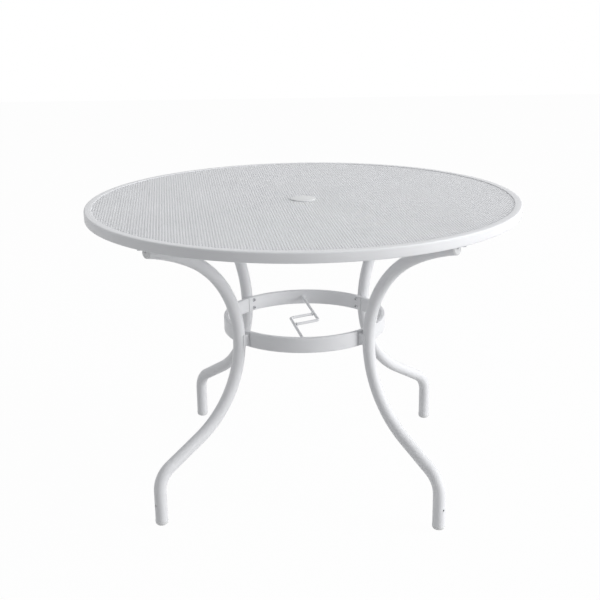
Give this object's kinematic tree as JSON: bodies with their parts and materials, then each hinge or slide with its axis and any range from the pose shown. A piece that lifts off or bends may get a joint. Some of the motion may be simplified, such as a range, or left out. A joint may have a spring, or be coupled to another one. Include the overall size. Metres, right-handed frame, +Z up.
{
  "type": "outdoor dining table",
  "caption": "Round white outdoor dining table with a mesh top, a capped umbrella hole, bowed tube legs and a round brace with a pole loop.",
  "frame": {"origin": "on the floor under the centre of the top", "axes": "+Z up; -Y is the side that the picture was taken from, +X its right; the legs stand on the diagonals"},
  "size_m": [1.0669, 1.067, 0.7271],
  "materials": {
    "white_coat": "satin white powder coat",
    "white_plastic": "moulded white plastic",
    "zinc_steel": "zinc plated"
  },
  "bodies": {
    "table": {"table_rim": "white_coat", "mesh_top": "white_coat", "umbrella_collar": "white_coat", "top_brace_back_right": "white_coat", "top_brace_back_left": "white_coat", "top_brace_front_left": "white_coat", "top_brace_front_right": "white_coat", "leg_plate_back_right": "white_coat", "leg_plate_back_left": "white_coat", "leg_plate_front_left": "white_coat", "leg_plate_front_right": "white_coat", "leg_back_right": "white_coat", "leg_back_left": "white_coat", "leg_front_left": "white_coat", "leg_front_right": "white_coat", "leg_end_plugs": "white_plastic", "foot_glide_back_right": "white_plastic", "foot_glide_back_left": "white_plastic", "foot_glide_front_left": "white_plastic", "foot_glide_front_right": "white_plastic", "ring_arc_front": "white_coat", "ring_arc_back": "white_coat", "ring_arc_left": "white_coat", "ring_arc_right": "white_coat", "ring_tongues": "white_coat", "leg_saddles": "white_coat", "pole_hook_back": "white_coat", "pole_hook_front": "white_coat", "ring_bolts": "zinc_steel", "ring_bolt_inserts": "zinc_steel", "plate_bolts": "zinc_steel", "leg_bolts": "zinc_steel", "brace_inserts": "zinc_steel"},
    "cap": {"umbrella_hole_cap": "white_plastic"}
  },
  "joints": [
    {"name": "cap_lift", "type": "slide", "parent": "table", "child": "cap", "axis": [0, 0, 1], "range_m": [0, 0.06]}
  ]
}
